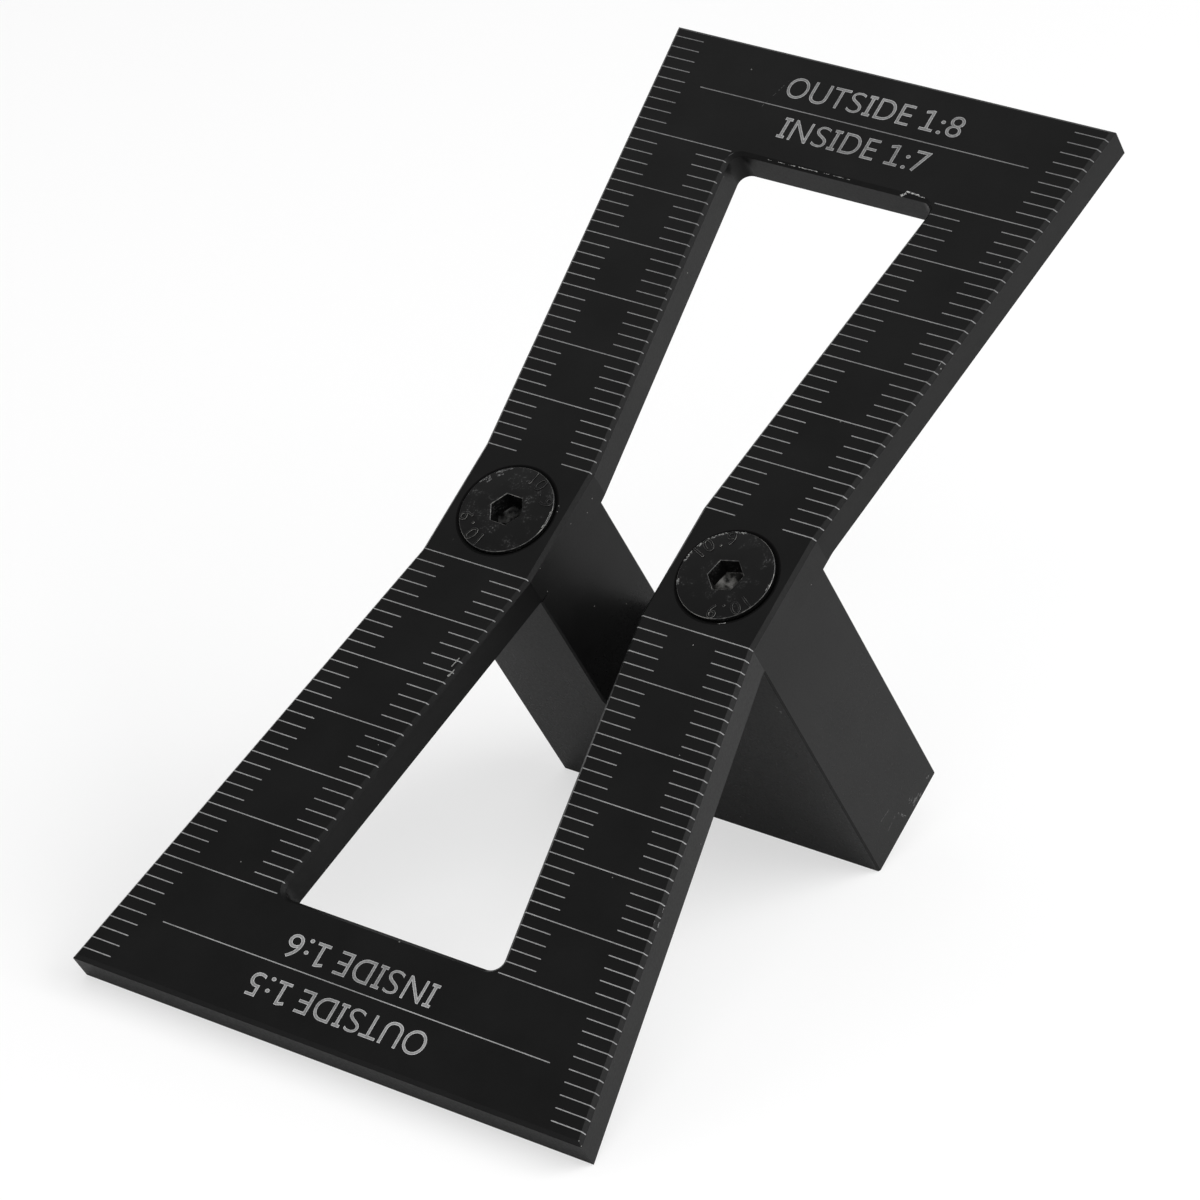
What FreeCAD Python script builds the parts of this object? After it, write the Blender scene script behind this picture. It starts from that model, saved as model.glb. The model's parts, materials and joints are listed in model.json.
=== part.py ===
import FreeCAD, Part
import math
import os

# Dovetail marker: an hourglass marking plate with an hourglass window, screwed to a slotted
# stock block that stands square off the back of its waist. Lengths are in millimetres.
#
# The pieces are drawn flat first: X runs across the plate, Y along it, and Z out of its
# graduated front face, which lies at Z = 0. The middle of the waist is at X = Y = 0. The whole
# marker is then leaned over to rest on a bench as it stands when it is set down.

# Marking plate: how far it runs each way from its middle, and its outer edge. The two
# outer slopes are the run for one unit of offset, so 8 stands for a slope of 1:8.
plate_thickness = 3.0
upper_reach = 45.0
lower_reach = 45.0
waist_width = 30.0
waist_length = 10.0
upper_outer_slope = 8.0
lower_outer_slope = 5.0
front_edge_chamfer = 0.3
back_edge_break = 0.15

# Window through the plate: its straight neck is as long as the waist, its two flared halves
# have slopes of their own, and a band of plate is left beyond each end.
window_neck_width = 10.0
upper_window_slope = 7.0
lower_window_slope = 6.0
end_band = 10.0
window_corner_radius = 1.0

# Stock block behind the waist: a bar with a slot between two legs. The legs carry the plate,
# and the slot is as wide as the window's neck, so that its walls run on from the plate's.
stock_thickness = 9.5
stock_drop = 0.35
stock_depth = 29.5
slot_depth = 15.0
slot_corner_radius = 1.0
stock_edge_break = 0.15

# Countersunk socket screws, one into each leg. The head has a short cylindrical rim above its
# cone, and stands a little proud of the plate when its cone is seated.
screw_diameter = 4.0
screw_length = 12.0
screw_end_chamfer = 0.5
head_diameter = 7.7
head_rim_height = 0.4
head_rim_bevel = 0.1
socket_across_flats = 2.5
socket_depth = 1.6
socket_tip_depth = 0.35
left_socket_turn = -2.0
right_socket_turn = 14.5

# Holes for the screws
countersink_diameter = 8.15
countersink_angle = 90.0
shank_clearance = 0.25
seat_clearance = 0.02
thread_clearance = 0.05
tapped_hole_depth = 11.5
drill_tip_angle = 118.0

# Places that follow from the sizes above
leg_centre = (waist_width + window_neck_width) / 4
stock_lower_face = -stock_thickness / 2 - stock_drop
stock_far_face = -plate_thickness - stock_depth
slot_floor = -plate_thickness - slot_depth
cone_slope = math.tan(math.radians(countersink_angle / 2))
rim_seat_depth = (countersink_diameter - head_diameter) / 2 / cone_slope - seat_clearance
head_top = head_rim_height - rim_seat_depth

across = FreeCAD.Vector(1, 0, 0)
along = FreeCAD.Vector(0, 1, 0)
outward = FreeCAD.Vector(0, 0, 1)
same_place = 1e-6


def prism(points, extrusion):
    """A closed polygon of points, extruded by one vector."""
    corners = [FreeCAD.Vector(*point) for point in points]
    return Part.Face(Part.makePolygon(corners + corners[:1])).extrude(extrusion)


def hourglass(neck_width, upper_slope, lower_slope, upper_end, lower_end):
    """An hourglass through the plate's thickness: a straight neck flaring towards both ends."""
    neck = neck_width / 2
    neck_end = waist_length / 2
    upper = neck + (upper_end - neck_end) / upper_slope
    lower = neck + (lower_end - neck_end) / lower_slope
    right_side = [(upper, upper_end), (neck, neck_end), (neck, -neck_end), (lower, -lower_end)]
    left_side = [(-x, y) for x, y in reversed(right_side)]
    outline = [(x, y, 0) for x, y in right_side + left_side]
    return prism(outline, outward * -plate_thickness)


def edges_where(shape, chosen):
    """The edges of a shape whose box passes a test."""
    return [edge for edge in shape.Edges if chosen(edge.BoundBox)]


def flat_at(height):
    """A test for edges that lie in the plane Z = height."""
    return lambda box: max(abs(box.ZMin - height), abs(box.ZMax - height)) < same_place


def clear_of_waist(box):
    """True away from the straight waist, where the stock block sits."""
    return max(abs(box.YMin), abs(box.YMax)) > waist_length / 2 + same_place


def marking_plate():
    """The graduated plate: outline, window, chamfered edges and countersunk screw holes."""
    outer = hourglass(waist_width, upper_outer_slope, lower_outer_slope, upper_reach, lower_reach)
    window_top = upper_reach - end_band
    window_bottom = lower_reach - end_band
    window = hourglass(window_neck_width, upper_window_slope, lower_window_slope,
                       window_top, window_bottom)
    corners = edges_where(window, lambda box: box.ZLength > plate_thickness / 2
                          and clear_of_waist(box))
    window = window.makeFillet(window_corner_radius, corners)
    plate = outer.cut(window)

    front_edges = edges_where(plate, flat_at(0))
    plate = plate.makeChamfer(front_edge_chamfer, front_edges)
    on_back = flat_at(-plate_thickness)
    back_edges = edges_where(plate, lambda box: on_back(box) and clear_of_waist(box))
    plate = plate.makeChamfer(back_edge_break, back_edges)

    hole_radius = screw_diameter / 2 + shank_clearance
    mouth_radius = countersink_diameter / 2
    cone_depth = (mouth_radius - hole_radius) / cone_slope
    for side in (-1, 1):
        centre = across * (side * leg_centre)
        shank_hole = Part.makeCylinder(hole_radius, plate_thickness, centre, -outward)
        countersink = Part.makeCone(mouth_radius, hole_radius, cone_depth, centre, -outward)
        plate = plate.cut(shank_hole.fuse(countersink))
    return plate


def stock_block():
    """The slotted bar behind the waist, with a tapped hole in the end of each leg."""
    half_width = waist_width / 2
    half_slot = window_neck_width / 2
    plate_back = -plate_thickness
    right_side = [
        (half_width, stock_far_face),
        (half_width, plate_back),
        (half_slot, plate_back),
        (half_slot, slot_floor),
    ]
    left_side = [(-x, z) for x, z in reversed(right_side)]
    outline = [(x, stock_lower_face, z) for x, z in right_side + left_side]
    block = prism(outline, along * stock_thickness)

    on_floor = flat_at(slot_floor)
    floor_corners = edges_where(block, lambda box: on_floor(box) and box.XLength < same_place)
    block = block.makeFillet(slot_corner_radius, floor_corners)
    on_plate = flat_at(plate_back)
    at_far_end = flat_at(stock_far_face)
    open_edges = edges_where(block, lambda box: not on_plate(box)
                             and (box.YLength < same_place or at_far_end(box)))
    block = block.makeChamfer(stock_edge_break, open_edges)

    hole_radius = screw_diameter / 2 + thread_clearance
    tip_length = hole_radius / math.tan(math.radians(drill_tip_angle / 2))
    for side in (-1, 1):
        mouth = FreeCAD.Vector(side * leg_centre, 0, plate_back)
        end = mouth - outward * tapped_hole_depth
        bore = Part.makeCylinder(hole_radius, tapped_hole_depth, mouth, -outward)
        tip = Part.makeCone(hole_radius, 0, tip_length, end, -outward)
        block = block.cut(bore.fuse(tip))
    return block


def socket_screw(side, socket_turn):
    """A seated countersunk screw: rim, cone and shank in one turned profile, with a hex socket."""
    head_radius = head_diameter / 2
    shank_radius = screw_diameter / 2
    cone_top = head_top - head_rim_height
    cone_bottom = cone_top - (head_radius - shank_radius) / cone_slope
    shank_end = head_top - screw_length
    profile = [
        (0, 0, head_top),
        (head_radius - head_rim_bevel, 0, head_top),
        (head_radius, 0, head_top - head_rim_bevel),
        (head_radius, 0, cone_top),
        (shank_radius, 0, cone_bottom),
        (shank_radius, 0, shank_end + screw_end_chamfer),
        (shank_radius - screw_end_chamfer, 0, shank_end),
        (0, 0, shank_end),
    ]
    corners = [FreeCAD.Vector(*point) for point in profile]
    face = Part.Face(Part.makePolygon(corners + corners[:1]))
    screw = face.revolve(FreeCAD.Vector(0, 0, 0), outward, 360)

    sides = 6
    corner_radius = socket_across_flats / 2 / math.cos(math.pi / sides)
    hexagon = []
    for corner in range(sides):
        angle = math.radians(socket_turn) + 2 * math.pi * corner / sides
        hexagon.append((corner_radius * math.cos(angle), corner_radius * math.sin(angle), head_top))
    socket = prism(hexagon, outward * -socket_depth)
    socket_end = outward * (head_top - socket_depth)
    tip = Part.makeCone(socket_across_flats / 2, 0, socket_tip_depth, socket_end, -outward)
    screw = screw.cut(socket.fuse(tip))
    screw.translate(across * (side * leg_centre))
    return screw


def lean_angle():
    """The plate's slope on the bench, where its back lower edge and the block's far lower edge
    touch down together."""
    plate_edge = FreeCAD.Vector(0, -lower_reach + back_edge_break, -plate_thickness)
    stock_edge = FreeCAD.Vector(0, stock_lower_face + stock_edge_break, stock_far_face)
    between = stock_edge - plate_edge
    return math.degrees(math.atan2(-between.z, between.y))


def set_down(pieces):
    """Lean the pieces over together, with the middle of their footprint at the origin."""
    for shape in pieces.values():
        shape.rotate(FreeCAD.Vector(0, 0, 0), across, lean_angle())
    box = Part.makeCompound(list(pieces.values())).BoundBox
    for shape in pieces.values():
        shape.translate(FreeCAD.Vector(-box.Center.x, -box.Center.y, -box.ZMin))


pieces = {
    "marking_plate": marking_plate(),
    "stock_block": stock_block(),
    "stock_screws": Part.makeCompound([
        socket_screw(-1, left_socket_turn),
        socket_screw(1, right_socket_turn),
    ]),
}
set_down(pieces)

os.makedirs("parts", exist_ok=True)
for node, shape in pieces.items():
    shape.exportStep("parts/" + node + ".step")
    print(node, len(shape.Solids), "solids", shape.isValid(), round(shape.Volume, 2), "mm3")
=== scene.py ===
import json
import math
import random

import bpy
from mathutils import Matrix, Vector

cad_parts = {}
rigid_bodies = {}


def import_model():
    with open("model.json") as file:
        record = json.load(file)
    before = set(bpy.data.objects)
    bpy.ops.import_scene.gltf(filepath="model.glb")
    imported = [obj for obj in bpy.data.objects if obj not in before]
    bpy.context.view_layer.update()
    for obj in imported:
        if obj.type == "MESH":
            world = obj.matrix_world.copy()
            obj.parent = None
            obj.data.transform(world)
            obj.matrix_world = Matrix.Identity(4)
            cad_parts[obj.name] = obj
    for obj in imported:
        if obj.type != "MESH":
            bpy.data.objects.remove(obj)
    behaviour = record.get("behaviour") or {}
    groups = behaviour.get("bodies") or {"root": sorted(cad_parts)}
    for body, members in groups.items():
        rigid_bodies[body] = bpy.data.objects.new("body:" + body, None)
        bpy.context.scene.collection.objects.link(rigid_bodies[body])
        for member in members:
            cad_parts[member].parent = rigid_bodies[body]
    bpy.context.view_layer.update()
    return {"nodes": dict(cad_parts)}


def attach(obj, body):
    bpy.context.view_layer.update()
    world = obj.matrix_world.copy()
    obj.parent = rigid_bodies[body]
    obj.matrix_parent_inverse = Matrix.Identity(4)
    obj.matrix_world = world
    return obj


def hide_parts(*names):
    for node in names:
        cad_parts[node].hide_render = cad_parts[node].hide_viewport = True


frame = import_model()
bpy.ops.object.select_all(action="DESELECT")

# Lengths are millimetres, times mm where they reach a mesh, a lamp or the camera. Points closer
# than same_place count as one.
mm = 0.001
same_place = 0.001

# The camera, fitted to the marker's own marks and edges
camera_place = (212.15, -309.40, 195.40)
camera_turn = (65.448, -1.062, 35.171)
camera_lens = 165.15
sensor_width = 36.0

# The plate as its marks follow it: half its outline and half its window at the waist, and the
# run for one unit of offset on each flared edge, upper half first
plate_reach = 45.0
plate_thickness = 3.0
waist_half_length = 5.0
half_waist = 15.0
half_neck = 5.0
outer_slopes = (8.0, 5.0)
window_slopes = (7.0, 6.0)
end_band = 10.0
edge_chamfer = 0.3

# Laser marks: one a millimetre, and a long one across the leg at every fifth. Each is a slab
# from mark_root below the plate's face to mark_lift above it, and wraps over the chamfer of the
# edge that it meets.
mark_pitch = 1.0
last_mark = 40
long_mark_every = 5
short_mark_length = 2.9
mark_width = 0.08
mark_lift = 0.018
mark_end_round = 0.03
mark_root = 0.03
outer_wrap = 0.28
window_wrap = 0.16
separator_places = (39.96, -40.05)
separator_half_lengths = (15.0, 17.5)

# Laser lettering: each letter's width, and the space to its left and right
cap_height = 1.95
letter_shapes = {
    "O": (1.85, 0.12, 0.12),
    "U": (1.57, 0.20, 0.20),
    "T": (1.42, 0.08, 0.09),
    "S": (1.27, 0.13, 0.12),
    "I": (0.67, 0.14, 0.14),
    "D": (1.61, 0.22, 0.18),
    "E": (1.12, 0.22, 0.13),
    "N": (1.63, 0.20, 0.31),
    "1": (1.15, 0.22, 0.15),
    ":": (0.38, 0.24, 0.18),
    "8": (1.32, 0.13, 0.0),
    "7": (1.29, 0.15, 0.0),
    "6": (1.29, 0.18, 0.0),
    "5": (1.14, 0.26, 0.0),
}
word_space = 0.7
font_cap_height = 0.682
serif_height = 0.27

# The flag of the 1: its middle and its width, as shares of the letter's size, and its turn
flag_place = (-0.27, 0.9)
flag_width = 0.55
flag_turn = 16

# Each label is laid twice: its outline, and its hatched core a little higher and thinner. A
# weight is what a stroke gains all round, and a few letters are trimmed.
laser_weight = -0.012
core_weight = -0.062
thinnest_weight = -0.068
stroke_trim = {"S": 0.022, "8": 0.012, "O": 0.006}
laser_lift = 0.010
core_lift = 0.014

# Screws: the sizes of the ones that they stand for, with heads 0.03 less in radius
leg_centre = 10.0
head_radius = 3.82
head_top = 0.195
rim_height = 0.4
rim_round = 0.1
shank_radius = 2.0
screw_length = 12.0
screw_end_chamfer = 0.5
socket_across_flats = 2.5
socket_lip = 0.045
socket_depth = 1.6
socket_tip_depth = 0.35
socket_turns = (-2.0, 14.5)
right_head_offset = (-0.1, 0.03)
head_facets = 96
left_screw_place = (-leg_centre, 0)
right_screw_place = (leg_centre + right_head_offset[0], right_head_offset[1])

# How far out from a screw's axis its seat is painted near black, as painted shade in the gap round the
# head
seat_shade_reach = 4.15

# The torn floor of a socket: how far its points are pulled about, and how thick it is
floor_tear = 0.09
floor_thickness = 0.1

# The plain numbers on the screws' heads: their height, how far out their tops reach, the space
# from one to the next as a share of their height, and how much they are raised, rounded and
# thinned
number_height = 1.12
number_reach = 3.2
number_spacing = 0.82
number_rise = 0.035
number_bevel = 0.03
number_trim = 0.02

# Wear: the length of one streak of an arc, the share of streaks that an arc keeps, the size of
# the patches that a streak first breaks into, how far off its face it lies, and its thickness
streak_length = 0.5
streaks_kept = 0.75
patch_length = 0.3
patch_width = 0.25
streak_lift = 0.006
streak_thickness = 0.012

# A grain of dust, before it is turned and stretched
grain_radius = 0.045
grain_unevenness = 0.02
grain_bevel = 0.006


def plate_matrix(plate):
    """From the plate's own axes, across, along and out of its face, to where it stands."""
    broad_face = max(plate.data.polygons, key=lambda face: face.area)
    out = broad_face.normal if broad_face.normal.z > 0 else -broad_face.normal
    across = Vector((1, 0, 0))
    along = out.cross(across)
    points = [vertex.co for vertex in plate.data.vertices]
    lengths = [point.dot(along) for point in points]
    face_height = max(point.dot(out) for point in points)
    waist = along * (min(lengths) + max(lengths)) / 2 + out * face_height
    axes = Matrix((across, along, out)).transposed()
    return Matrix.Translation(waist) @ axes.to_4x4()


on_plate = plate_matrix(frame["nodes"]["marking_plate"])


# Materials

def linear(hex_colour):
    """An sRGB colour written in hex, as the linear values that a shader takes."""
    values = []
    for place in (1, 3, 5):
        share = int(hex_colour[place:place + 2], 16) / 255
        values.append(share / 12.92 if share <= 0.04045 else ((share + 0.055) / 1.055) ** 2.4)
    return (*values, 1)


def per(size):
    """The texture scale that gives features of one size, in millimetres."""
    return 1 / (size * mm)


def new_material(name):
    """An empty node material."""
    material = bpy.data.materials.new(name)
    material.use_nodes = True
    material.node_tree.nodes.clear()
    return material


def add(tree, kind, inputs=(), **settings):
    """Adds a node: its settings, and each input as a value or as a link from an output."""
    node = tree.nodes.new(kind)
    for name, value in settings.items():
        setattr(node, name, value)
    for name, value in dict(inputs).items():
        if isinstance(value, bpy.types.NodeSocket):
            tree.links.new(value, node.inputs[name])
        else:
            node.inputs[name].default_value = value
    return node


def stray_dust(tree, place):
    """Where a few grains of dust lie, each about a tenth of a millimetre across."""
    cells = add(tree, "ShaderNodeTexVoronoi", {"Vector": place, "Scale": per(1.3)})
    near = add(tree, "ShaderNodeMath", {0: cells.outputs["Distance"], 1: 0.045}, operation="LESS_THAN")
    chosen = add(tree, "ShaderNodeSeparateColor", {0: cells.outputs["Color"]})
    few = add(tree, "ShaderNodeMath", {0: chosen.outputs[0], 1: 0.93}, operation="GREATER_THAN")
    return add(tree, "ShaderNodeMath", {0: near.outputs[0], 1: few.outputs[0]}, operation="MULTIPLY")


def screw_seat_shade(tree, parts):
    """Where the seats of the screws are, to be painted dark as shade, from the parts of a place in the
    plate's own axes.
    """
    side = add(tree, "ShaderNodeMath", {0: parts.outputs["X"]}, operation="ABSOLUTE")
    inward = add(tree, "ShaderNodeMath", {0: side.outputs[0], 1: leg_centre * mm}, operation="SUBTRACT")
    offset = add(tree, "ShaderNodeCombineXYZ", {0: inward.outputs[0], 1: parts.outputs["Y"]})
    reach = add(tree, "ShaderNodeVectorMath", {0: offset.outputs[0]}, operation="LENGTH")
    by_screw = add(tree, "ShaderNodeMath", {
        0: reach.outputs["Value"], 1: seat_shade_reach * mm}, operation="LESS_THAN")
    in_plate = add(tree, "ShaderNodeMath", {
        0: parts.outputs["Z"], 1: -plate_thickness * mm}, operation="GREATER_THAN")
    return add(tree, "ShaderNodeMath", {
        0: by_screw.outputs[0], 1: in_plate.outputs[0]}, operation="MULTIPLY")


def black_anodised(name, seed, roughest, polished):
    """Blasted and black-anodised aluminium: a dyed oxide film that gives the eye a deep, even
    satin black, with faint clouds where the dye took differently and a very fine grain. Behind
    the plate handling has polished it, which takes up to polished off its roughness. Round the
    screws' seats it is painted near black, as painted shade."""
    material = new_material(name)
    tree = material.node_tree
    place = add(tree, "ShaderNodeTexCoord").outputs["Object"]
    shifted = add(tree, "ShaderNodeMapping", {
        "Vector": place, "Location": (seed * 0.1, 0, 0)}).outputs[0]
    clouds = add(tree, "ShaderNodeTexNoise", {"Vector": shifted, "Scale": per(5.0), "Detail": 4.0})
    # The blasted grain is about 0.05 mm, and is drawn four times as coarse so that it shows.
    grain = add(tree, "ShaderNodeTexNoise", {"Vector": shifted, "Scale": per(0.2), "Detail": 2.0})
    cloud_share = add(tree, "ShaderNodeMapRange", {
        "Value": clouds.outputs["Fac"], "From Min": 0.3, "From Max": 0.7})
    dye = add(tree, "ShaderNodeMix", {
        0: cloud_share.outputs[0], 6: linear("#0d0d0d"), 7: linear("#121212")}, data_type="RGBA")
    grains = stray_dust(tree, shifted)
    dusty = add(tree, "ShaderNodeMix", {
        0: grains.outputs[0], 6: dye.outputs[2], 7: linear("#70706e")}, data_type="RGBA")
    # The seats of the screws are painted near black and dulled beside the heads, as painted shade in
    # the gap round each head.
    turned = on_plate.to_3x3().inverted().to_euler()
    flat = add(tree, "ShaderNodeMapping", {
        "Vector": place, "Location": on_plate.inverted().to_translation(), "Rotation": turned})
    parts = add(tree, "ShaderNodeSeparateXYZ", {0: flat.outputs[0]})
    seat_shade = screw_seat_shade(tree, parts)
    colour = add(tree, "ShaderNodeMix", {
        0: seat_shade.outputs[0], 6: dusty.outputs[2], 7: linear("#0b0b0b")}, data_type="RGBA")
    satin = add(tree, "ShaderNodeMapRange", {
        "Value": grain.outputs["Fac"], "From Min": 0.3, "From Max": 0.7,
        "To Min": roughest - 0.1, "To Max": roughest})
    handled = add(tree, "ShaderNodeMapRange", {
        "Value": parts.outputs["Z"], "From Min": -2 * mm, "From Max": -14 * mm, "To Max": polished})
    roughness = add(tree, "ShaderNodeMath", {
        0: satin.outputs[0], 1: handled.outputs[0]}, operation="SUBTRACT")
    bump = add(tree, "ShaderNodeBump", {
        "Height": grain.outputs["Fac"], "Strength": 0.25, "Distance": 0.01 * mm})
    dulled = add(tree, "ShaderNodeMath", {
        0: roughness.outputs[0], 1: seat_shade.outputs[0]}, operation="MAXIMUM")
    surface = add(tree, "ShaderNodeBsdfPrincipled", {
        "Base Color": colour.outputs[2], "Roughness": dulled.outputs[0],
        "Specular IOR Level": 0.095, "Normal": bump.outputs[0]})
    add(tree, "ShaderNodeOutputMaterial", {"Surface": surface.outputs[0]})
    return material


def laser_bleached(name, upper_colour, lower_colour):
    """Laser marking: the dye burnt out of the oxide film, a chalky grey. It gets lighter from the
    marker's upper end to its lower one, and is a little uneven along each stroke."""
    material = new_material(name)
    tree = material.node_tree
    place = add(tree, "ShaderNodeTexCoord").outputs["Object"]
    pulses = add(tree, "ShaderNodeTexNoise", {"Vector": place, "Scale": per(0.25), "Detail": 2.0})
    drift = add(tree, "ShaderNodeTexNoise", {"Vector": place, "Scale": per(6.0)})
    uneven = add(tree, "ShaderNodeMath", {0: pulses.outputs["Fac"], 1: drift.outputs["Fac"]})
    depth = add(tree, "ShaderNodeMapRange", {
        "Value": uneven.outputs[0], "From Min": 0.7, "From Max": 1.3, "To Min": 0.72, "To Max": 1.28})
    along = add(tree, "ShaderNodeSeparateXYZ", {0: place})
    lower = add(tree, "ShaderNodeMapRange", {
        "Value": along.outputs["Y"], "From Min": 35 * mm, "From Max": -35 * mm})
    shade = add(tree, "ShaderNodeMix", {
        0: lower.outputs[0], 6: linear(upper_colour), 7: linear(lower_colour)}, data_type="RGBA")
    colour = add(tree, "ShaderNodeVectorMath", {
        0: shade.outputs[2], "Scale": depth.outputs[0]}, operation="SCALE")
    surface = add(tree, "ShaderNodeBsdfPrincipled", {
        "Base Color": colour.outputs[0], "Roughness": 0.65, "Specular IOR Level": 0.2})
    add(tree, "ShaderNodeOutputMaterial", {"Surface": surface.outputs[0]})
    return material


def black_oxide_steel():
    """Black-oxide alloy steel: a thin magnetite film over machined steel, near black and a
    little glossier than the anodising, with rubbed patches where it has thinned."""
    material = new_material("black_oxide_steel")
    tree = material.node_tree
    place = add(tree, "ShaderNodeTexCoord").outputs["Object"]
    patches = add(tree, "ShaderNodeTexNoise", {"Vector": place, "Scale": per(1.4), "Detail": 5.0})
    rubs = add(tree, "ShaderNodeTexNoise", {"Vector": place, "Scale": per(0.16), "Detail": 3.0})
    thinned = add(tree, "ShaderNodeMapRange", {
        "Value": patches.outputs["Fac"], "From Min": 0.5, "From Max": 0.75})
    flecks = add(tree, "ShaderNodeMapRange", {
        "Value": rubs.outputs["Fac"], "From Min": 0.55, "From Max": 0.7})
    worn = add(tree, "ShaderNodeMath", {
        0: thinned.outputs[0], 1: flecks.outputs[0]}, operation="MULTIPLY")
    film = add(tree, "ShaderNodeMix", {
        0: thinned.outputs[0], 6: linear("#0b0b0b"), 7: linear("#131313")}, data_type="RGBA")
    colour = add(tree, "ShaderNodeMix", {
        0: worn.outputs[0], 6: film.outputs[2], 7: linear("#585858")}, data_type="RGBA")
    bump = add(tree, "ShaderNodeBump", {
        "Height": patches.outputs["Fac"], "Strength": 0.5, "Distance": 0.04 * mm})
    surface = add(tree, "ShaderNodeBsdfPrincipled", {
        "Base Color": colour.outputs[2], "Roughness": 0.4, "Specular IOR Level": 0.13,
        "Normal": bump.outputs[0]})
    add(tree, "ShaderNodeOutputMaterial", {"Surface": surface.outputs[0]})
    return material


def rubbed_steel_edge():
    """The screws' sharp edges, where handling has rubbed the black film through in a thin
    broken line of bright steel."""
    material = new_material("rubbed_steel_edge")
    tree = material.node_tree
    place = add(tree, "ShaderNodeTexCoord").outputs["Object"]
    breaks = add(tree, "ShaderNodeTexNoise", {"Vector": place, "Scale": per(0.5), "Detail": 4.0})
    stretches = add(tree, "ShaderNodeTexNoise", {"Vector": place, "Scale": per(2.6)})
    uneven = add(tree, "ShaderNodeMath", {0: breaks.outputs["Fac"], 1: stretches.outputs["Fac"]})
    share = add(tree, "ShaderNodeMapRange", {
        "Value": uneven.outputs[0], "From Min": 0.9, "From Max": 1.3})
    colour = add(tree, "ShaderNodeMix", {
        0: share.outputs[0], 6: linear("#242424"), 7: linear("#8c8b88")}, data_type="RGBA")
    surface = add(tree, "ShaderNodeBsdfPrincipled", {
        "Base Color": colour.outputs[2], "Metallic": share.outputs[0], "Roughness": 0.4})
    add(tree, "ShaderNodeOutputMaterial", {"Surface": surface.outputs[0]})
    return material


def broached_steel(name, dull, bright):
    """Steel at the bottom of a socket, torn by the broach: uneven facets, from black oxide that
    has taken to bright bare metal. Each socket's copy is painted lighter or darker as its light and
    shade."""
    material = new_material(name)
    tree = material.node_tree
    place = add(tree, "ShaderNodeTexCoord").outputs["Object"]
    tears = add(tree, "ShaderNodeTexNoise", {"Vector": place, "Scale": per(0.6), "Detail": 4.0})
    share = add(tree, "ShaderNodeMapRange", {
        "Value": tears.outputs["Fac"], "From Min": 0.4, "From Max": 0.65})
    colour = add(tree, "ShaderNodeMix", {
        0: share.outputs[0], 6: linear(dull), 7: linear(bright)}, data_type="RGBA")
    bump = add(tree, "ShaderNodeBump", {
        "Height": tears.outputs["Fac"], "Strength": 0.5, "Distance": 0.05 * mm})
    surface = add(tree, "ShaderNodeBsdfPrincipled", {
        "Base Color": colour.outputs[2], "Metallic": 1.0, "Roughness": 0.42,
        "Normal": bump.outputs[0]})
    add(tree, "ShaderNodeOutputMaterial", {"Surface": surface.outputs[0]})
    return material


def rubbed_metal(name, bareness, dull, bright):
    """Metal where its black film is rubbed thin or chipped off an edge: a torn, uneven silver,
    from a dull grey where film is left to bright bare metal."""
    material = new_material(name)
    tree = material.node_tree
    place = add(tree, "ShaderNodeTexCoord").outputs["Object"]
    tears = add(tree, "ShaderNodeTexNoise", {"Vector": place, "Scale": per(0.2), "Detail": 3.0})
    share = add(tree, "ShaderNodeMapRange", {
        "Value": tears.outputs["Fac"], "From Min": 0.35, "From Max": 0.65})
    colour = add(tree, "ShaderNodeMix", {
        0: share.outputs[0], 6: linear(dull), 7: linear(bright)}, data_type="RGBA")
    surface = add(tree, "ShaderNodeBsdfPrincipled", {
        "Base Color": colour.outputs[2], "Metallic": bareness, "Roughness": 0.5,
        "Specular IOR Level": 0.2})
    add(tree, "ShaderNodeOutputMaterial", {"Surface": surface.outputs[0]})
    return material


def settled_dust():
    """House dust and lint: a few pale, dull grains that catch the light."""
    material = new_material("pale_dust_grains")
    tree = material.node_tree
    surface = add(tree, "ShaderNodeBsdfDiffuse", {"Color": linear("#8a8a88"), "Roughness": 0.9})
    add(tree, "ShaderNodeOutputMaterial", {"Surface": surface.outputs[0]})
    return material


# Modelling by hand: small helpers around the edit-mode tools

def start_piece(name, primitive, **settings):
    """A new primitive in edit mode, with nothing else selected."""
    bpy.ops.object.select_all(action="DESELECT")
    primitive(**settings)
    piece = bpy.context.object
    piece.name = name
    bpy.ops.object.mode_set(mode="EDIT")
    return piece


def select_points(piece, wanted):
    """In edit mode, selects just the points whose place passes a test."""
    bpy.ops.mesh.select_mode(type="VERT")
    bpy.ops.mesh.select_all(action="DESELECT")
    bpy.ops.object.mode_set(mode="OBJECT")
    for vertex in piece.data.vertices:
        vertex.select = wanted(vertex.co)
    bpy.ops.object.mode_set(mode="EDIT")


def select_edges(piece, wanted):
    """In edit mode, selects just the edges whose two ends pass a test."""
    bpy.ops.mesh.select_mode(type="EDGE")
    bpy.ops.mesh.select_all(action="DESELECT")
    bpy.ops.object.mode_set(mode="OBJECT")
    points = piece.data.vertices
    for edge in piece.data.edges:
        edge.select = wanted(*(points[corner].co for corner in edge.vertices))
    bpy.ops.object.mode_set(mode="EDIT")


def open_mesh(piece):
    """Goes into edit mode on one piece, as it was last left."""
    bpy.ops.object.select_all(action="DESELECT")
    piece.select_set(True)
    bpy.context.view_layer.objects.active = piece
    bpy.ops.object.mode_set(mode="EDIT")


def copied(piece):
    """A copy of a piece with a mesh of its own."""
    other = piece.copy()
    other.data = piece.data.copy()
    bpy.context.collection.objects.link(other)
    return other


def placed(piece, matrix):
    """Moves, turns or stretches a piece, and applies that to its mesh."""
    bpy.ops.object.select_all(action="DESELECT")
    piece.select_set(True)
    bpy.context.view_layer.objects.active = piece
    piece.matrix_basis = matrix @ piece.matrix_basis
    bpy.ops.object.transform_apply(location=True, rotation=True, scale=True)
    return piece


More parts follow.
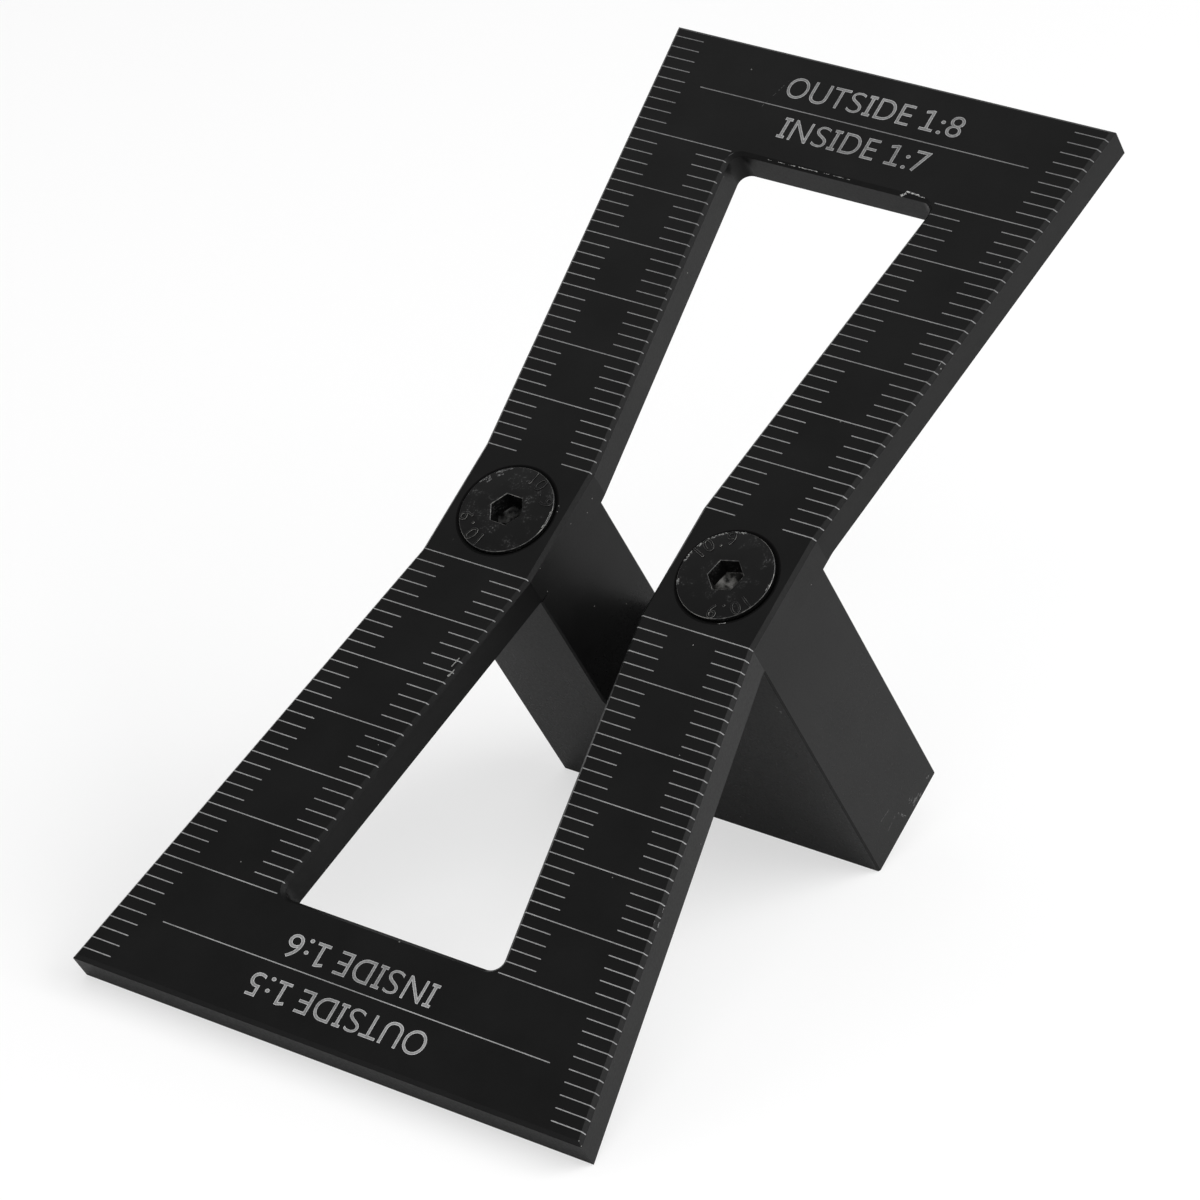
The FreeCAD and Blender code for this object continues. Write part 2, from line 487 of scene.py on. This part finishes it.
def closed_up(piece):
    """Joins the separate skins of converted lettering into one closed skin."""
    open_mesh(piece)
    bpy.ops.mesh.select_all(action="SELECT")
    bpy.ops.mesh.remove_doubles(threshold=same_place * mm)
    bpy.ops.mesh.dissolve_degenerate(threshold=same_place * mm)
    bpy.ops.object.mode_set(mode="OBJECT")
    bpy.ops.object.shade_flat()
    return piece


def knock_out(share, seed):
    """In edit mode, deletes a share of the faces at random."""
    bpy.ops.mesh.select_mode(type="FACE")
    bpy.ops.mesh.select_all(action="DESELECT")
    bpy.ops.mesh.select_random(ratio=share, seed=seed)
    bpy.ops.mesh.delete(type="FACE")


def ring_out(steps):
    """Extrudes the selected ring once for each step: its new share of size, and its rise."""
    for size, rise in steps:
        bpy.ops.mesh.extrude_region_move(TRANSFORM_OT_translate={"value": (0, 0, rise * mm)})
        bpy.ops.transform.resize(value=(size, size, 1), center_override=(0, 0, 0))


def joined(name, pieces):
    """Several pieces made one."""
    bpy.ops.object.select_all(action="DESELECT")
    for piece in pieces:
        piece.select_set(True)
    bpy.context.view_layer.objects.active = pieces[0]
    bpy.ops.object.join()
    pieces[0].name = name
    pieces[0].data.name = name
    return pieces[0]


def finished(piece, slot, *materials):
    """Gives a piece its materials, where none are set yet, and puts it under the root body. The slot is
    not used.
    """
    for material in materials:
        piece.data.materials.append(material)
    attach(piece, "root")


# Graduations

def edge_place(half_width, slope, place):
    """Half the width between two flared edges, at a place along the plate."""
    return half_width + max(0, abs(place) - waist_half_length) / slope


def mark_blank(left_wrap, right_wrap):
    """A mark one millimetre long, running down over the chamfer at an end that meets an edge, and
    rounded at its ends as the laser's spot leaves them. Its left half stays selected."""
    piece = start_piece("mark", bpy.ops.mesh.primitive_cube_add, size=1,
                        scale=(mm, mark_width * mm, (mark_lift + mark_root) * mm),
                        location=(0, 0, (mark_lift - mark_root) / 2 * mm))
    for side, wrap in ((-1, left_wrap), (1, right_wrap)):
        if wrap:
            select_points(piece, lambda point, side=side: point.x * side > 0.4 * mm)
            drop = (side * wrap * mm, 0, -wrap * mm)
            bpy.ops.mesh.extrude_region_move(TRANSFORM_OT_translate={"value": drop})

    def at_end(point):
        wrap = right_wrap if point.x > 0 else left_wrap
        return abs(point.x) > (0.49 + wrap) * mm

    select_edges(piece, lambda one, two: at_end(one) and at_end(two)
                 and (one - two).xy.length < same_place * mm)
    bpy.ops.mesh.bevel(offset=mark_end_round * mm, segments=2, affect="EDGES")
    bpy.ops.mesh.select_all(action="SELECT")
    bpy.ops.mesh.normals_make_consistent(inside=False)
    select_points(piece, lambda point: point.x < 0)
    bpy.ops.object.mode_set(mode="OBJECT")
    return piece


def lay_mark(blanks, ends, place):
    """A copy of a blank, drawn out between two ends. An end is its place across the plate, and how
    far it wraps over the edge that it meets."""
    (left, left_wrap), (right, right_wrap) = ends
    left_start = left + (edge_chamfer if left_wrap else 0)
    right_start = right - (edge_chamfer if right_wrap else 0)
    piece = copied(blanks[left_wrap, right_wrap])
    open_mesh(piece)
    bpy.ops.transform.translate(value=((left_start + 0.5) * mm, place * mm, 0))
    bpy.ops.mesh.select_all(action="INVERT")
    bpy.ops.transform.translate(value=((right_start - 0.5) * mm, place * mm, 0))
    bpy.ops.object.mode_set(mode="OBJECT")
    return piece


def leg_marks(blanks, place, count, upper):
    """The marks across both legs at one place: at the outer edge, and where the window is, at
    its edge too, or one long mark between the two."""
    half = 0 if upper else 1
    outer = edge_place(half_waist, outer_slopes[half], place)
    inner = edge_place(half_neck, window_slopes[half], place)
    beside_window = count * mark_pitch >= end_band
    is_long = beside_window and count % long_mark_every == 0 and not (upper and count == last_mark)
    at_window_end = count * mark_pitch == end_band
    marks = []
    if is_long:
        marks.append(((inner, 0 if at_window_end else window_wrap), (outer, outer_wrap)))
    else:
        marks.append(((outer - short_mark_length, 0), (outer, outer_wrap)))
        if beside_window:
            marks.append(((inner, window_wrap), (inner + short_mark_length, 0)))
    pieces = []
    for left, right in marks:
        pieces.append(lay_mark(blanks, (left, right), place))
        mirrored = [(-across, wrap) for across, wrap in (right, left)]
        pieces.append(lay_mark(blanks, mirrored, place))
    return pieces


def scale_marks():
    """The graduations on both halves of the plate, counted from its two ends, and the line
    between the two labels of each end."""
    blanks = {}
    wraps = (0, window_wrap, outer_wrap)
    for left_wrap in wraps:
        for right_wrap in wraps:
            blanks[left_wrap, right_wrap] = mark_blank(left_wrap, right_wrap)
    pieces = []
    for upper, heading in ((True, 1), (False, -1)):
        for count in range(1, last_mark + 1):
            place = heading * (plate_reach - count * mark_pitch)
            pieces += leg_marks(blanks, place, count, upper)
    for place, half_length in zip(separator_places, separator_half_lengths):
        ends = ((-half_length, 0), (half_length, 0))
        pieces.append(lay_mark(blanks, ends, place))
    for blank in blanks.values():
        bpy.data.objects.remove(blank)
    return joined("scale_marks", pieces)


# Lettering

def letter(character, weight, lift):
    """One letter as a thin slab, its lower left corner at the origin."""
    width = letter_shapes[character][0] - 2 * laser_weight
    bpy.ops.object.text_add()
    piece = bpy.context.object
    piece.data.body = character
    piece.data.size = cap_height / font_cap_height * mm
    bpy.context.view_layer.update()
    low = Vector(piece.bound_box[0])
    drawn_width = piece.dimensions.x
    piece.data.extrude = (lift + mark_root) / 2 * mm
    piece.data.offset = max(weight - stroke_trim.get(character, 0), thinnest_weight) * mm
    bpy.ops.object.convert(target="MESH")
    closed_up(piece)
    stretch = 1 if character in "I1" else width * mm / drawn_width
    middle = Matrix.Translation((-(low.x + drawn_width / 2), 0, (lift - mark_root) / 2 * mm))
    return placed(piece, Matrix.Diagonal((stretch, 1, 1, 1)) @ middle)


def bar(centre, size, turn, weight, lift):
    """A serif or flag: a small slab, grown all round by the stroke's weight."""
    piece = start_piece("serif", bpy.ops.mesh.primitive_cube_add, size=1,
                        scale=((size[0] + 2 * weight) * mm, (size[1] + 2 * weight) * mm,
                               (lift + mark_root) * mm))
    bpy.ops.object.mode_set(mode="OBJECT")
    where = Matrix.Translation((centre[0] * mm, centre[1] * mm, (lift - mark_root) / 2 * mm))
    return placed(piece, where @ Matrix.Rotation(math.radians(turn), 4, "Z"))


def serifs(character, weight, lift):
    """The feet of I and 1, and the flag of 1."""
    width = letter_shapes[character][0] - 2 * laser_weight
    foot = bar((0, serif_height / 2), (width, serif_height), 0, weight, lift)
    if character == "I":
        head = bar((0, cap_height - serif_height / 2), (width, serif_height), 0, weight, lift)
        return [foot, head]
    flag_middle = (flag_place[0] * width, flag_place[1] * cap_height)
    flag = bar(flag_middle, (flag_width * width, serif_height), flag_turn, weight, lift)
    return [foot, flag]


def united(name, pieces):
    """Overlapping slabs made one closed skin."""
    whole = pieces[0]
    for other in pieces[1:]:
        union = whole.modifiers.new("union", "BOOLEAN")
        union.operation = "UNION"
        union.object = other
        bpy.ops.object.select_all(action="DESELECT")
        bpy.context.view_layer.objects.active = whole
        bpy.ops.object.modifier_apply(modifier="union")
        bpy.data.objects.remove(other)
    whole.name = name
    return closed_up(whole)


def words_width(words):
    """How wide a line of lettering comes out."""
    total = 0
    for character in words:
        total += word_space if character == " " else sum(letter_shapes[character])
    first, last = letter_shapes[words[0]], letter_shapes[words[-1]]
    return total - first[1] - last[2]


def label_line(words, middle, base_line, upside_down, weight, lift):
    """A line of lettering set letter by letter, its middle and its foot at places on the plate."""
    pieces = []
    cursor = -words_width(words) / 2 - letter_shapes[words[0]][1]
    for character in words:
        if character == " ":
            cursor += word_space
            continue
        width, before, after = letter_shapes[character]
        shape = letter(character, weight, lift)
        if character in "I1":
            shape = united("letter", [shape] + serifs(character, weight, lift))
        shift = cursor + before + width / 2
        pieces.append(placed(shape, Matrix.Translation((shift * mm, 0, 0))))
        cursor += before + width + after
    line = joined("label", pieces)
    turn = Matrix.Rotation(math.pi if upside_down else 0, 4, "Z")
    return placed(line, Matrix.Translation((middle * mm, base_line * mm, 0)) @ turn)


def slope_labels(name, weight, lift):
    """What each edge marks: its side, and its slope as a plain ratio. A line is its words, its
    middle across the plate, its foot along it, and whether it reads from the upper end."""
    lines = (
        ("OUTSIDE 1:8", 0.16, 40.97, False),
        ("INSIDE 1:7", 0.25, 37.24, False),
        ("INSIDE 1:6", -0.27, -37.39, True),
        ("OUTSIDE 1:5", -0.16, -41.13, True),
    )
    made = [label_line(*line, weight, lift) for line in lines]
    return joined(name, made)


# Screws

def stamped(number, angle):
    """Plain numbers raised on a screw's head, round its axis and read from outside."""
    pieces = []
    spread = number_spacing * number_height
    for place, character in enumerate(number):
        bpy.ops.object.text_add()
        piece = bpy.context.object
        piece.data.body = character
        piece.data.size = number_height / font_cap_height * mm
        piece.data.align_x = "CENTER"
        piece.data.extrude = number_rise * mm
        piece.data.bevel_depth = number_bevel * mm
        piece.data.offset = -number_trim * mm
        bpy.ops.object.convert(target="MESH")
        closed_up(piece)
        swing = angle - math.degrees((place - (len(number) - 1) / 2) * spread / number_reach) - 90
        outward = Matrix.Translation((0, (number_reach - number_height / 2) * mm, head_top * mm))
        pieces.append(placed(piece, Matrix.Rotation(math.radians(swing), 4, "Z") @ outward))
    return pieces


def screw_body(turn):
    """The turned screw: a flat head with a rounded rim, a cone, a shank and a hex socket."""
    flat_radius = head_radius - rim_round
    piece = start_piece("screw", bpy.ops.mesh.primitive_circle_add, vertices=head_facets,
                        radius=flat_radius * mm, location=(0, 0, 0))
    hex_radius = (socket_across_flats / 2 + socket_lip) / math.cos(math.pi / 6)
    bpy.ops.mesh.select_all(action="DESELECT")
    bpy.ops.mesh.primitive_circle_add(vertices=6, radius=hex_radius * mm, location=(0, 0, 0),
                                      rotation=(0, 0, math.radians(turn + 30)))
    bpy.ops.mesh.subdivide(number_cuts=head_facets // 6 - 1)
    bpy.ops.mesh.select_all(action="SELECT")
    bpy.ops.mesh.bridge_edge_loops()

    select_points(piece, lambda point: point.length > (flat_radius - 0.05) * mm)
    radius = flat_radius
    steps = []
    for share in (30, 60, 90):
        angle = math.radians(share)
        grown = flat_radius + rim_round * math.sin(angle)
        drop = rim_round * (math.cos(angle - math.radians(30)) - math.cos(angle))
        steps.append((grown / radius, -drop))
        radius = grown
    cone_drop = head_radius - shank_radius
    shank_drop = screw_length - rim_height - cone_drop - screw_end_chamfer
    steps.append((1, rim_round - rim_height))
    steps.append((shank_radius / head_radius, -cone_drop))
    steps.append((1, -shank_drop))
    steps.append(((shank_radius - screw_end_chamfer) / shank_radius, -screw_end_chamfer))
    ring_out(steps)
    bpy.ops.mesh.edge_face_add()

    select_points(piece, lambda point: point.length < hex_radius * 1.01 * mm
                  and abs(point.z) < same_place * mm)
    lip_share = socket_across_flats / 2 / (socket_across_flats / 2 + socket_lip)
    ring_out([(lip_share, -socket_lip), (1, socket_lip - socket_depth - socket_tip_depth)])
    bpy.ops.mesh.edge_face_add()
    bpy.ops.mesh.select_all(action="SELECT")
    bpy.ops.mesh.normals_make_consistent(inside=False)
    bpy.ops.object.mode_set(mode="OBJECT")
    return placed(piece, Matrix.Translation((0, 0, head_top * mm)))


def torn_floor(turn, seed):
    """The socket's floor: a shallow cone left by the drill, torn into facets by the broach."""
    corner_radius = (socket_across_flats / 2 + 0.01) / math.cos(math.pi / 6)
    piece = start_piece("socket_floor", bpy.ops.mesh.primitive_circle_add, vertices=6,
                        radius=corner_radius * mm, fill_type="TRIFAN",
                        location=(0, 0, (head_top - socket_depth) * mm),
                        rotation=(0, 0, math.radians(turn + 30)))
    select_points(piece, lambda point: point.xy.length < 0.1 * mm)
    bpy.ops.transform.translate(value=(0, 0, -socket_tip_depth * mm))
    bpy.ops.mesh.select_all(action="SELECT")
    bpy.ops.mesh.subdivide(number_cuts=2)
    select_points(piece, lambda point: point.xy.length < (socket_across_flats / 2 - 0.1) * mm)
    bpy.ops.transform.vertex_random(offset=floor_tear * mm, seed=seed)
    bpy.ops.mesh.select_all(action="SELECT")
    bpy.ops.mesh.extrude_region_move(TRANSFORM_OT_translate={"value": (0, 0, -floor_thickness * mm)})
    bpy.ops.mesh.select_all(action="SELECT")
    bpy.ops.mesh.normals_make_consistent(inside=False)
    bpy.ops.object.mode_set(mode="OBJECT")
    return piece


def socket_screw(name, place, turn, numbers, floor_finish_and_shade, seed):
    """A countersunk socket screw in its seat, with its plain numbers."""
    pieces = [screw_body(turn), torn_floor(turn, seed)]
    for number, angle in numbers:
        pieces += stamped(number, angle)
    piece = joined(name, pieces)
    finishes = (black_oxide, steel_edge, floor_finish_and_shade)
    for material in finishes:
        piece.data.materials.append(material)
    for face in piece.data.polygons:
        radius = face.center.xy.length / mm
        depth = head_top - face.center.z / mm
        in_socket = radius < socket_across_flats / 2 + 0.05
        if in_socket and socket_depth - 0.25 < depth < socket_depth + 0.5:
            face.material_index = finishes.index(floor_finish_and_shade)
        elif 0.15 < face.normal.z < 0.95 and depth < 0.6 * rim_round:
            face.material_index = finishes.index(steel_edge)
        else:
            face.material_index = finishes.index(black_oxide)
    placed(piece, on_plate @ Matrix.Translation((place[0] * mm, place[1] * mm, 0)))
    bpy.ops.object.shade_smooth_by_angle(angle=math.radians(25))
    finished(piece, "screws")
    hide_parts("stock_screws")


# Wear

def worn_arc(centre, radius, turns, width, share, seed):
    """Streaks along an arc that lies flat on the plate's face or a screw's head."""
    dice = random.Random(seed)
    arc_length = math.radians(abs(turns[1] - turns[0])) * radius
    steps = max(2, round(arc_length / streak_length))
    points = []
    for step in range(steps + 1):
        angle = math.radians(turns[0] + (turns[1] - turns[0]) * step / steps)
        across = centre[0] + radius * math.cos(angle)
        along = centre[1] + radius * math.sin(angle)
        points.append((across, along, centre[2]))
    pieces = []
    for step, (start, end) in enumerate(zip(points, points[1:])):
        if dice.random() < streaks_kept:
            pieces.append(worn_streak(start, end, (0, 0, 1), width, share, seed + step))
    return pieces


def worn_streak(start, end, out, width, share, seed):
    """A broken streak of bare metal between two points, lying on a face: a strip with patches
    knocked out of it, first large ones and then small, and its corners moved about."""
    start, end, out = Vector(start), Vector(end), Vector(out).normalized()
    length = (end - start).length
    piece = start_piece("streak", bpy.ops.mesh.primitive_grid_add, size=1,
                        x_subdivisions=max(2, round(length / patch_length)),
                        y_subdivisions=max(1, round(width / patch_width)))
    bpy.ops.transform.resize(value=(length * mm, width * mm, 1), center_override=(0, 0, 0))
    knock_out(1 - share ** 0.5, seed)
    bpy.ops.mesh.select_all(action="SELECT")
    bpy.ops.mesh.subdivide(number_cuts=2)
    knock_out(1 - share ** 0.5, seed + 1)
    bpy.ops.mesh.select_all(action="SELECT")
    bpy.ops.transform.vertex_random(offset=min(0.03, width / 4) * mm, seed=seed)
    bpy.ops.object.mode_set(mode="OBJECT")
    thicken = piece.modifiers.new("thicken", "SOLIDIFY")
    thicken.thickness = streak_thickness * mm
    thicken.offset = -1
    bpy.ops.object.modifier_apply(modifier="thicken")
    along = (end - start).normalized()
    axes = Matrix((along, out.cross(along), out)).transposed().to_4x4()
    middle = (start + end) / 2 + out * streak_lift
    return placed(piece, Matrix.Translation(middle * mm) @ axes)


def bright_wear():
    """Where the black film has been knocked off: along the upper window's end, at its right
    corner, and beside the right screw."""
    edge = plate_reach - end_band + edge_chamfer
    slope_out = (0, -1, 1)
    face_out = (0, 0, 1)
    streaks = (
        ((-6.0, edge - 0.12, -0.12), (-3.2, edge - 0.11, -0.11), slope_out, 0.05, 0.22, 3),
        ((-3.2, edge - 0.10, -0.10), (-0.9, edge - 0.10, -0.10), slope_out, 0.07, 0.4, 4),
        ((-0.9, edge - 0.09, -0.09), (2.1, edge - 0.09, -0.09), slope_out, 0.04, 0.3, 6),
        ((6.15, edge - 0.25, -0.25), (6.6, edge - 0.03, -0.03), slope_out, 0.18, 0.9, 5),
        ((6.55, edge + 0.08, 0), (7.75, edge + 0.03, 0), face_out, 0.13, 0.9, 8),
        ((7.7, edge - 0.04, -0.04), (8.5, edge - 0.04, -0.04), slope_out, 0.06, 0.5, 9),
        ((11.29, -3.82, -0.03), (11.85, -3.58, -0.03), (-0.3, 0.65, 0.7), 0.13, 0.9, 11),
    )
    return joined("bright_wear", [worn_streak(*streak) for streak in streaks])


def plate_scuffs_and_highlight():
    """A painted edge highlight in streaks round the window's upper left corner, and where the
    plate's film is only rubbed thin: in a long faint scratch beside the labels, and in flecks along the
    right edge."""
    face_out = (0, 0, 1)
    slope_out = (1, 0, 1)
    corner = (-8.13, plate_reach - end_band - 1, 0)
    # The streaks round the window's upper left corner are a painted edge highlight
    pieces = worn_arc(corner, 1 + edge_chamfer, (176, 94), 0.05, 0.5, 20)
    streaks = (
        ((-9.0, 39.6, 0), (-7.7, 43.4, 0), face_out, 0.035, 0.15, 31),
        ((19.45, -27.3, -0.25), (19.53, -27.7, -0.25), slope_out, 0.08, 0.8, 32),
        ((19.19, -26.2, -0.25), (19.27, -26.6, -0.25), slope_out, 0.06, 0.6, 33),
        ((19.2, -27.4, 0), (19.23, -27.6, 0), face_out, 0.05, 0.8, 35),
        ((16.83, 22.05, 0), (16.79, 21.6, 0), face_out, 0.06, 0.8, 34),
    )
    return joined("plate_scuffs_and_highlight", pieces + [worn_streak(*streak) for streak in streaks])


def head_scuffs():
    """Worn stretches round the rims of the screws' heads, brightest on the right one."""
    reach = head_radius - rim_round - 0.01
    left_centre = (*left_screw_place, head_top)
    right_centre = (*right_screw_place, head_top)
    pieces = []
    for centre, turns, width, share, seed in (
        (right_centre, (92, 132), 0.14, 0.26, 50),
        (right_centre, (132, 210), 0.17, 0.36, 60),
        (right_centre, (-14, 4), 0.08, 0.60, 70),
        (left_centre, (-10, 14), 0.06, 0.50, 90),
    ):
        pieces += worn_arc(centre, reach, turns, width, share, seed)
    return joined("head_scuffs", pieces)


def left_head_scuffs():
    """A duller patch by the left head's rim, where the oxide is only rubbed thin."""
    centre = (*left_screw_place, head_top)
    flat_radius = head_radius - rim_round
    pieces = worn_arc(centre, flat_radius - 0.05, (112, 156), 0.13, 0.60, 80)
    pieces += worn_arc(centre, flat_radius - 0.30, (116, 150), 0.34, 0.40, 110)
    return joined("left_head_scuffs", pieces)


def stock_scuffs():
    """Where the stock has been knocked: its far end and corner, two short scratches beside them,
    and flecks along the edge under the plate."""
    side = half_waist
    side_out = (1, 0, 0)
    lower_out = (0, -1, 0)
    streaks = (
        ((side, 0.9, -31.7), (side, 2.2, -31.95), side_out, 0.5, 0.40, 41),
        ((side, 0.6, -31.0), (side, 1.5, -31.2), side_out, 0.5, 0.16, 47),
        ((side, -0.8, -30.4), (side, -0.3, -31.7), side_out, 0.18, 0.50, 42),
        ((side, 3.3, -31.6), (side, 3.6, -31.8), side_out, 0.22, 0.70, 43),
        ((side, -2.6, -28.7), (side, -1.35, -28.9), side_out, 0.06, 0.60, 44),
        ((side, -2.6, -30.4), (side, -1.15, -30.2), side_out, 0.06, 0.60, 45),
        ((14.1, -5.1, -7.8), (14.7, -5.1, -10.5), lower_out, 0.2, 0.15, 46),
    )
    return joined("stock_scuffs", [worn_streak(*streak) for streak in streaks])


def lint_fibre(start, end, radius):
    """A straight fibre of lint that lies along the plate's face."""
    start, end = Vector(start), Vector(end)
    piece = start_piece("fibre", bpy.ops.mesh.primitive_cylinder_add, vertices=8,
                        radius=radius * mm, depth=(end - start).length * mm)
    bpy.ops.object.mode_set(mode="OBJECT")
    turned = (end - start).to_track_quat("Z", "Y").to_matrix().to_4x4()
    return placed(piece, Matrix.Translation((start + end) / 2 * mm) @ turned)


def dust():
    """Single grains of dust on the slot's wall, the stock's side and the plate, and two fibres
    of lint beside the window, one with a knot at its end."""
    grains = (
        (-5.0, -3.6, -0.4), (-5.0, -1.2, -9.3), (-5.0, 2.7, -2.0), (-5.0, 0.9, -0.9),
        (-5.0, -4.14, -2.8), (-5.0, 3.74, -1.6), (15.0, 2.6, -2.6), (17.97, -19.8, -2.3),
        (10.4, -6.05, 0.0), (14.1, -14.7, 0.0), (22.69, -44.69, 0.0), (22.91, -44.91, -0.25),
        (-6.0, 1.1, 0.0), (-6.15, 1.6, 0.0),
    )
    fibres = (
        ((-6.82, -12.72, 0.02), (-7.04, -13.58, 0.02), 0.034),
        ((-6.67, -13.75, 0.02), (-6.77, -14.20, 0.02), 0.034),
        ((-6.76, -14.22, 0.03), (-6.88, -14.43, 0.03), 0.070),
    )
    first = start_piece("grain", bpy.ops.mesh.primitive_ico_sphere_add, subdivisions=1,
                        radius=grain_radius * mm)
    bpy.ops.transform.vertex_random(offset=grain_unevenness * mm, seed=3)
    bpy.ops.mesh.bevel(offset=grain_bevel * mm, segments=1, affect="EDGES")
    bpy.ops.object.mode_set(mode="OBJECT")
    pieces = []
    for number, place in enumerate(grains):
        moved = Matrix.Translation(Vector(place) * mm)
        turned = Matrix.Rotation(number * 1.3, 4, "Z")
        stretched = Matrix.Diagonal((1 + 0.3 * (number % 3), 1, 0.8, 1))
        pieces.append(placed(copied(first), moved @ turned @ stretched))
    bpy.data.objects.remove(first)
    pieces += [lint_fibre(*fibre) for fibre in fibres]
    return joined("dust", pieces)


# The parts that the frame brings, and the pieces on them

plate_finish = black_anodised("black_anodised_aluminium_plate", 1, 0.43, 0.0)
stock_finish = black_anodised("black_anodised_aluminium_stock", 2, 0.43, 0.07)
black_oxide = black_oxide_steel()
steel_edge = rubbed_steel_edge()
# The right socket's floor is painted lighter, as painted light, and the left one's darker, as painted
# shade
shaded_socket_floor = broached_steel("broached_steel_painted_shaded", "#0e0e0e", "#4a4a49")
lit_socket_floor = broached_steel("broached_steel_painted_lit", "#20201f", "#6e6d6b")

for node, finish in (("marking_plate", plate_finish), ("stock_block", stock_finish)):
    mesh = frame["nodes"][node].data
    mesh.materials.clear()
    mesh.materials.append(finish)

left_turn, right_turn = socket_turns
left_numbers = (("10.9", 52), ("10.9", 232))
right_numbers = (("10.9", 135), ("10.9", 305))
socket_screw("left_screw", left_screw_place, left_turn, left_numbers, shaded_socket_floor, 1)
socket_screw("right_screw", right_screw_place, right_turn, right_numbers, lit_socket_floor, 2)

for piece, slot, finish in (
    (scale_marks(), "plate", laser_bleached("laser_bleached_marks", "#6b6b6b", "#8b8b8b")),
    (slope_labels("label_outlines", laser_weight, laser_lift), "plate",
     laser_bleached("laser_bleached_outlines", "#9c9c9c", "#a8a8a8")),
    (slope_labels("label_cores", core_weight, core_lift), "plate",
     laser_bleached("laser_bleached_hatching", "#6e6e6e", "#7c7c7c")),
    (bright_wear(), "plate", rubbed_metal("bare_chipped_aluminium", 0.6, "#7a7a7a", "#cfcfcd")),
    (plate_scuffs_and_highlight(), "plate", rubbed_metal("anodising_rubbed_thin_and_highlight", 0.1, "#343434", "#707070")),
    (head_scuffs(), "screws", rubbed_metal("black_oxide_rubbed_through", 0.3, "#484848", "#a4a4a2")),
    (left_head_scuffs(), "screws", rubbed_metal("black_oxide_rubbed_thin", 0.1, "#303030", "#6a6a6a")),
    (stock_scuffs(), "stock", rubbed_metal("anodising_knocked", 0.1, "#2e2e2e", "#5e5e5e")),
    (dust(), "plate", settled_dust()),
):
    finished(placed(piece, on_plate), slot, finish)


# Floor, light and camera

# How much of the floor's own shade turns white: to the camera, and in what mirrors it
floor_cleared = 0.6
mirrored_floor_cleared = 0.06


def floor():
    """A wide pale floor that turns white to the camera away from the marker's shadow."""
    bpy.ops.object.select_all(action="DESELECT")
    bpy.ops.mesh.primitive_plane_add(size=20)
    piece = bpy.context.object
    piece.name = "floor"
    material = new_material("pale_floor")
    tree = material.node_tree
    paint = add(tree, "ShaderNodeBsdfDiffuse", {"Color": linear("#ececec")})
    white = add(tree, "ShaderNodeEmission", {"Color": (1, 1, 1, 1), "Strength": 1.0})
    rays = add(tree, "ShaderNodeLightPath")
    mirrored = add(tree, "ShaderNodeMath", {
        0: rays.outputs["Is Glossy Ray"], 1: rays.outputs["Is Transmission Ray"]}, operation="MAXIMUM")
    faint = add(tree, "ShaderNodeMath", {
        0: mirrored.outputs[0], 1: mirrored_floor_cleared}, operation="MULTIPLY")
    clear = add(tree, "ShaderNodeMath", {
        0: rays.outputs["Is Camera Ray"], 1: floor_cleared}, operation="MULTIPLY")
    share = add(tree, "ShaderNodeMath", {0: faint.outputs[0], 1: clear.outputs[0]})
    surface = add(tree, "ShaderNodeMixShader", {
        0: share.outputs[0], 1: paint.outputs[0], 2: white.outputs[0]})
    add(tree, "ShaderNodeOutputMaterial", {"Surface": surface.outputs[0]})
    piece.data.materials.append(material)


def softbox(name, place, target, width, height, power):
    """A soft lamp that faces a point."""
    data = bpy.data.lights.new(name, "AREA")
    data.shape = "RECTANGLE"
    data.size = width * mm
    data.size_y = height * mm
    data.energy = power
    lamp = bpy.data.objects.new(name, data)
    lamp.location = Vector(place) * mm
    lamp.rotation_euler = (Vector(target) - Vector(place)).to_track_quat("-Z", "Y").to_euler()
    bpy.context.scene.collection.objects.link(lamp)


def world():
    """An even, dim studio room."""
    room = bpy.data.worlds.new("studio")
    room.use_nodes = True
    tree = room.node_tree
    tree.nodes.clear()
    back = add(tree, "ShaderNodeBackground", {"Color": (1, 1, 1, 1), "Strength": 0.567})
    add(tree, "ShaderNodeOutputWorld", {"Surface": back.outputs[0]})
    bpy.context.scene.world = room


def camera():
    """The camera at the photograph's viewing angle."""
    data = bpy.data.cameras.new("camera")
    data.lens = camera_lens
    data.sensor_width = sensor_width
    data.clip_start = 0.01
    data.clip_end = 100
    eye = bpy.data.objects.new("camera", data)
    eye.location = Vector(camera_place) * mm
    eye.rotation_euler = [math.radians(turn) for turn in camera_turn]
    bpy.context.scene.collection.objects.link(eye)
    bpy.context.scene.camera = eye


floor()
world()
camera()
marker_middle = (0, 0, 25)
upper_left_corner = (-16, 33, 50)
softbox("right_rear_softbox", (450, 420, 420), marker_middle, 500, 500, 3.5)
softbox("right_softbox", (600, -20, 480), marker_middle, 400, 300, 1.4)
softbox("upper_left_card", (-230, 80, 380), upper_left_corner, 200, 200, 0.1)
softbox("front_softbox", (260, -420, 520), marker_middle, 500, 400, 1.75)
bpy.context.scene.view_settings.view_transform = "Standard"
